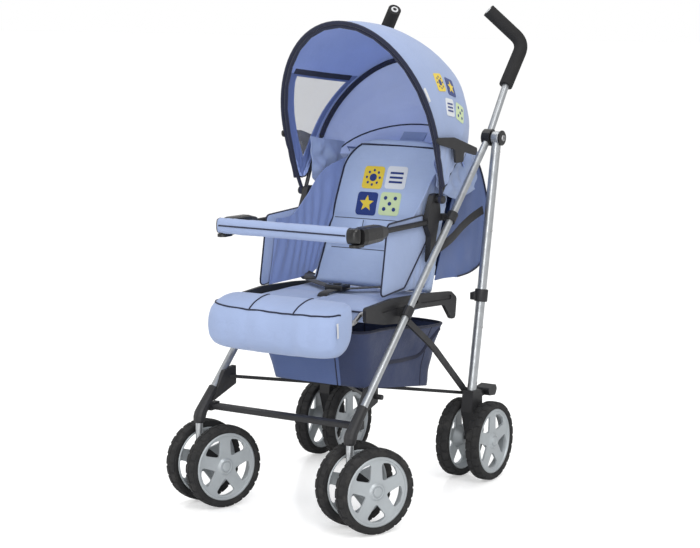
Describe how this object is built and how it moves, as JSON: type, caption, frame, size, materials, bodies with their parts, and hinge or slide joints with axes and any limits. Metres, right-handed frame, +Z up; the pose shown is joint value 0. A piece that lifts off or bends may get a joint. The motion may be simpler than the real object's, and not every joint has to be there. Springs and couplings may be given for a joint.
{
  "type": "pushchair",
  "caption": "Folding pushchair with twin swivel front wheels, reclining padded seat, adjustable legrest, bumper bar, hooped canopy and shopping basket.",
  "frame": {"origin": "on the floor, below the middle of the whole outline", "axes": "+Z up, +Y from the front wheels to the handles, +X to the seated child's left"},
  "size_m": [0.5428, 0.8188, 1.0575],
  "materials": {
    "silver_tube": "satin silver lacquer",
    "steel": "plain rod",
    "black_plastic": "fine moulded grain",
    "grip_foam": "closed foam",
    "tyre": "matt tread",
    "wheel_grey": "silver-grey moulding",
    "light_blue_cloth": "fine woven polyester",
    "blue_cloth": "fine woven polyester"
  },
  "bodies": {
    "frame": {"footrest_bar": "black_plastic", "brace_bar_upper": "black_plastic", "brace_bar_lower": "black_plastic", "seat_pad": "light_blue_cloth", "harness_buckle": "black_plastic", "basket": "blue_cloth", "main_tube_left": "silver_tube", "handle_grip_left": "grip_foam", "top_hinge_left": "black_plastic", "front_knuckle_left": "black_plastic", "seat_rail_left": "black_plastic", "arm_bracket_left": "black_plastic", "side_panel_left": "light_blue_cloth", "bumper_socket_left": "black_plastic", "main_tube_right": "silver_tube", "handle_grip_right": "grip_foam", "top_hinge_right": "black_plastic", "front_knuckle_right": "black_plastic", "seat_rail_right": "black_plastic", "arm_bracket_right": "black_plastic", "side_panel_right": "light_blue_cloth", "bumper_socket_right": "black_plastic"},
    "rear_leg_left": {"rear_leg_left": "silver_tube", "rear_axle_housing_left": "black_plastic"},
    "side_strut_left": {"side_strut_left": "black_plastic"},
    "brake_pedal_left": {"brake_pedal_left": "black_plastic"},
    "caster_left": {"caster_fork_left": "black_plastic"},
    "wheel_front_left_outer": {"tyre_front_left_outer": "tyre", "rim_front_left_outer": "wheel_grey"},
    "wheel_front_left_inner": {"tyre_front_left_inner": "tyre", "rim_front_left_inner": "wheel_grey"},
    "wheel_rear_left_outer": {"tyre_rear_left_outer": "tyre", "rim_rear_left_outer": "wheel_grey"},
    "wheel_rear_left_inner": {"tyre_rear_left_inner": "tyre", "rim_rear_left_inner": "wheel_grey"},
    "rear_leg_right": {"rear_leg_right": "silver_tube", "rear_axle_housing_right": "black_plastic"},
    "side_strut_right": {"side_strut_right": "black_plastic"},
    "brake_pedal_right": {"brake_pedal_right": "black_plastic"},
    "caster_right": {"caster_fork_right": "black_plastic"},
    "wheel_front_right_outer": {"tyre_front_right_outer": "tyre", "rim_front_right_outer": "wheel_grey"},
    "wheel_front_right_inner": {"tyre_front_right_inner": "tyre", "rim_front_right_inner": "wheel_grey"},
    "wheel_rear_right_outer": {"tyre_rear_right_outer": "tyre", "rim_rear_right_outer": "wheel_grey"},
    "wheel_rear_right_inner": {"tyre_rear_right_inner": "tyre", "rim_rear_right_inner": "wheel_grey"},
    "backrest": {"backrest_pad": "light_blue_cloth", "back_flap": "blue_cloth"},
    "legrest": {"legrest_frame": "steel", "legrest_pad": "light_blue_cloth"},
    "bumper_bar": {"bumper_bar": "light_blue_cloth"},
    "buckle_button": {"buckle_button": "black_plastic"},
    "canopy_front": {"canopy_front_bow": "black_plastic", "canopy_cover": "light_blue_cloth"},
    "canopy_middle": {"canopy_middle_bow": "black_plastic", "canopy_lock_left": "black_plastic", "canopy_lock_right": "black_plastic"}
  },
  "joints": [
    {"name": "fold_left", "type": "hinge", "parent": "frame", "child": "rear_leg_left", "pos_m": [0.1895, 0.2486, 0.766], "axis": [-1, 0, 0], "range_deg": [0, 27]},
    {"name": "strut_left", "type": "hinge", "parent": "rear_leg_left", "child": "side_strut_left", "pos_m": [0.1595, 0.1636, 0.207], "axis": [-1, 0, 0], "range_deg": [0, 65]},
    {"name": "brake_left", "type": "hinge", "parent": "rear_leg_left", "child": "brake_pedal_left", "pos_m": [0.174, 0.1856, 0.188], "axis": [-1, 0, 0], "range_deg": [0, 18]},
    {"name": "swivel_left", "type": "hinge", "parent": "frame", "child": "caster_left", "pos_m": [0.174, -0.3404, 0.127], "axis": [0, 0, 1], "continuous": true},
    {"name": "spin_front_left_outer", "type": "hinge", "parent": "caster_left", "child": "wheel_front_left_outer", "pos_m": [0.22323, -0.32474, 0.089], "axis": [0.9063, -0.4226, 0], "continuous": true},
    {"name": "spin_rear_left_outer", "type": "hinge", "parent": "rear_leg_left", "child": "wheel_rear_left_outer", "pos_m": [0.212, 0.1876, 0.089], "axis": [1, 0, 0], "continuous": true},
    {"name": "spin_front_left_inner", "type": "hinge", "parent": "caster_left", "child": "wheel_front_left_inner", "pos_m": [0.15435, -0.29262, 0.089], "axis": [0.9063, -0.4226, 0], "continuous": true},
    {"name": "spin_rear_left_inner", "type": "hinge", "parent": "rear_leg_left", "child": "wheel_rear_left_inner", "pos_m": [0.136, 0.1876, 0.089], "axis": [1, 0, 0], "continuous": true},
    {"name": "fold_right", "type": "hinge", "parent": "frame", "child": "rear_leg_right", "pos_m": [-0.2215, 0.2486, 0.766], "axis": [-1, 0, 0], "range_deg": [0, 27]},
    {"name": "strut_right", "type": "hinge", "parent": "rear_leg_right", "child": "side_strut_right", "pos_m": [-0.1915, 0.1636, 0.207], "axis": [-1, 0, 0], "range_deg": [0, 65]},
    {"name": "brake_right", "type": "hinge", "parent": "rear_leg_right", "child": "brake_pedal_right", "pos_m": [-0.206, 0.1856, 0.188], "axis": [-1, 0, 0], "range_deg": [0, 18]},
    {"name": "swivel_right", "type": "hinge", "parent": "frame", "child": "caster_right", "pos_m": [-0.206, -0.3404, 0.127], "axis": [0, 0, 1], "continuous": true},
    {"name": "spin_front_right_outer", "type": "hinge", "parent": "caster_right", "child": "wheel_front_right_outer", "pos_m": [-0.22974, -0.29451, 0.089], "axis": [0.9397, -0.342, 0], "continuous": true},
    {"name": "spin_rear_right_outer", "type": "hinge", "parent": "rear_leg_right", "child": "wheel_rear_right_outer", "pos_m": [-0.244, 0.1876, 0.089], "axis": [1, 0, 0], "continuous": true},
    {"name": "spin_front_right_inner", "type": "hinge", "parent": "caster_right", "child": "wheel_front_right_inner", "pos_m": [-0.15832, -0.32051, 0.089], "axis": [0.9397, -0.342, 0], "continuous": true},
    {"name": "spin_rear_right_inner", "type": "hinge", "parent": "rear_leg_right", "child": "wheel_rear_right_inner", "pos_m": [-0.168, 0.1876, 0.089], "axis": [1, 0, 0], "continuous": true},
    {"name": "backrest_recline", "type": "hinge", "parent": "frame", "child": "backrest", "pos_m": [-0.016, 0.0426, 0.43], "axis": [-1, 0, 0], "range_deg": [0, 25]},
    {"name": "legrest_tilt", "type": "hinge", "parent": "frame", "child": "legrest", "pos_m": [-0.016, -0.2264, 0.432], "axis": [1, 0, 0], "range_deg": [-10, 40]},
    {"name": "bumper_swing", "type": "hinge", "parent": "frame", "child": "bumper_bar", "pos_m": [-0.181, -0.2839, 0.6], "axis": [0, 0, -1], "range_deg": [0, 100]},
    {"name": "buckle_press", "type": "slide", "parent": "frame", "child": "buckle_button", "axis": [0, 0, -1], "range_m": [0, 0.002], "stiffness_N_per_m": 400},
    {"name": "canopy_front_bow", "type": "hinge", "parent": "frame", "child": "canopy_front", "pos_m": [-0.016, 0.0436, 0.645], "axis": [-1, 0, 0], "range_deg": [0, 42], "deforming": ["canopy_cover"]},
    {"name": "canopy_middle_bow", "type": "hinge", "parent": "frame", "child": "canopy_middle", "pos_m": [-0.016, 0.0436, 0.645], "axis": [-1, 0, 0], "range_deg": [0, 11.4]}
  ],
  "couplings": [
    {"joint": "fold_right", "follows": "fold_left", "ratio": 1},
    {"joint": "strut_left", "follows": "fold_left", "ratio": 2.4},
    {"joint": "strut_right", "follows": "fold_left", "ratio": 2.4},
    {"joint": "canopy_middle_bow", "follows": "canopy_front_bow", "ratio": 0.27}
  ]
}
